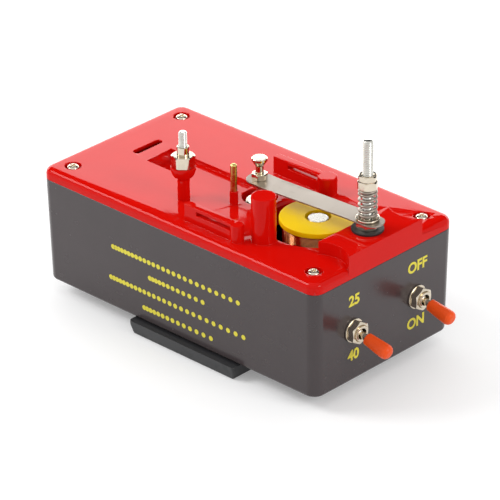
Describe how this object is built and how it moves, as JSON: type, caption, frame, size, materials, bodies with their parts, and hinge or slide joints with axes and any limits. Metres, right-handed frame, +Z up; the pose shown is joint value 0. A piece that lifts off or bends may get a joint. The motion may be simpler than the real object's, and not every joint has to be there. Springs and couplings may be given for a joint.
{
  "type": "ticker timer",
  "caption": "Ticker timer: an electromagnet pulls a sprung steel strip so that its striker marks a paper tape, on a box with a rate switch and a power switch.",
  "frame": {"origin": "on the underside of the foot plate, under the middle of the case", "axes": "+Z up; +X along the case towards the end with the two switches; +Y from the long side with the front tape guide towards the other long side"},
  "size_m": [0.1599, 0.08, 0.0937],
  "materials": {
    "case_plastic": "moulded, satin gloss",
    "foot_plastic": "moulded, matt",
    "lid_plastic": "moulded, high gloss",
    "nickel": "nickel plated, bright",
    "zinc_steel": "zinc plated",
    "spring_steel": "bright rolled steel",
    "fibre": "black insulating fibre",
    "bobbin_plastic": "moulded, satin",
    "enamelled_wire": "enamelled copper wire",
    "brass": "turned, bright",
    "red_plastic": "moulded, gloss",
    "black_plastic": "moulded, satin",
    "board": "green lacquered board",
    "switch_plastic": "moulded, satin",
    "sleeve_plastic": "soft moulded sleeve",
    "capacitor_sleeve": "shrunk sleeve",
    "resistor_body": "dipped lacquer",
    "lead_red": "flexible insulation",
    "lead_black": "flexible insulation"
  },
  "bodies": {
    "timer_case": {"base_case": "case_plastic", "foot_plate": "foot_plastic", "foot_screws": "zinc_steel", "lid": "lid_plastic", "lid_screws": "nickel", "pivot_rod": "zinc_steel", "pivot_washer": "fibre", "pivot_seat_nut": "nickel", "pivot_lower_nut": "nickel", "spring_washer": "nickel", "pivot_spring": "spring_steel", "anvil": "nickel", "anvil_nut": "nickel", "bobbin": "bobbin_plastic", "winding_core": "enamelled_wire", "winding_wire": "enamelled_wire", "magnet_core": "zinc_steel", "magnet_yoke": "zinc_steel", "core_screw": "nickel", "yoke_screws": "nickel", "disc_pin": "brass", "post_sleeve": "lid_plastic", "post_stud": "zinc_steel", "post_nut": "nickel", "post_collar": "nickel", "post_lower_nut": "nickel", "rate_switch_body": "switch_plastic", "rate_switch_bushing": "nickel", "rate_switch_washer": "nickel", "rate_switch_nut": "nickel", "power_switch_body": "switch_plastic", "power_switch_bushing": "nickel", "power_switch_washer": "nickel", "power_switch_nut": "nickel", "positive_socket": "red_plastic", "negative_socket": "black_plastic", "socket_contacts": "nickel", "socket_nuts": "black_plastic", "circuit_board": "board", "board_screws": "nickel", "timing_chip": "black_plastic", "power_transistor": "black_plastic", "capacitors": "capacitor_sleeve", "resistors": "resistor_body", "rate_trimmers": "switch_plastic", "coil_leads": "lead_red", "switch_leads": "lead_black", "supply_leads": "lead_red"},
    "striker_arm": {"vibrating_strip": "spring_steel", "striker_nuts": "nickel", "striker_screw": "nickel"},
    "tension_nuts": {"tension_nut": "nickel", "lock_nut": "nickel"},
    "rate_toggle": {"rate_lever": "nickel", "rate_lever_sleeve": "sleeve_plastic"},
    "power_toggle": {"power_lever": "nickel", "power_lever_sleeve": "sleeve_plastic"}
  },
  "joints": [
    {"name": "strip_rock", "type": "hinge", "parent": "timer_case", "child": "striker_arm", "pos_m": [0.061, 0, 0.06145], "axis": [0, 1, 0], "range_deg": [-0.9, 1.5], "stiffness_Nm_per_rad": 0.35},
    {"name": "spring_tension", "type": "slide", "parent": "timer_case", "child": "tension_nuts", "axis": [0, 0, 1], "range_m": [-0.003, 0.002], "deforming": ["pivot_spring"]},
    {"name": "rate_switch", "type": "hinge", "parent": "timer_case", "child": "rate_toggle", "pos_m": [0.072, -0.0171, 0.0268], "axis": [0, -1, 0], "range_deg": [0, 25]},
    {"name": "power_switch", "type": "hinge", "parent": "timer_case", "child": "power_toggle", "pos_m": [0.072, 0.0171, 0.0268], "axis": [0, -1, 0], "range_deg": [0, 25]}
  ]
}
